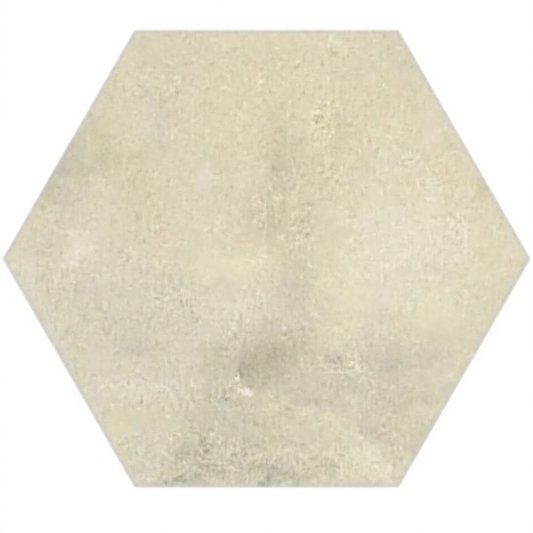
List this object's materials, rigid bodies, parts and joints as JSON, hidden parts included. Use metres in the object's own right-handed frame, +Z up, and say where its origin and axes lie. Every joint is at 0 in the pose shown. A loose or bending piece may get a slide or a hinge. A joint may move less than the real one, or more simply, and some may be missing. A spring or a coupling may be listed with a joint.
{
  "type": "hexagon floor tile",
  "caption": "Flat hexagonal floor tile of matt stoneware with a cement-look face, a softly rounded rim and a honeycomb of shallow keying cells in the back.",
  "frame": {"origin": "centre of the back, on the plane that the tile lies on", "axes": "+Z up out of the walking face, +X from corner to corner (the longest extent), +Y across two of the straight sides"},
  "size_m": [0.3284, 0.285, 0.0095],
  "materials": {
    "stoneware": "matte"
  },
  "bodies": {
    "root": {"hexagon_tile": "stoneware"}
  },
  "joints": []
}
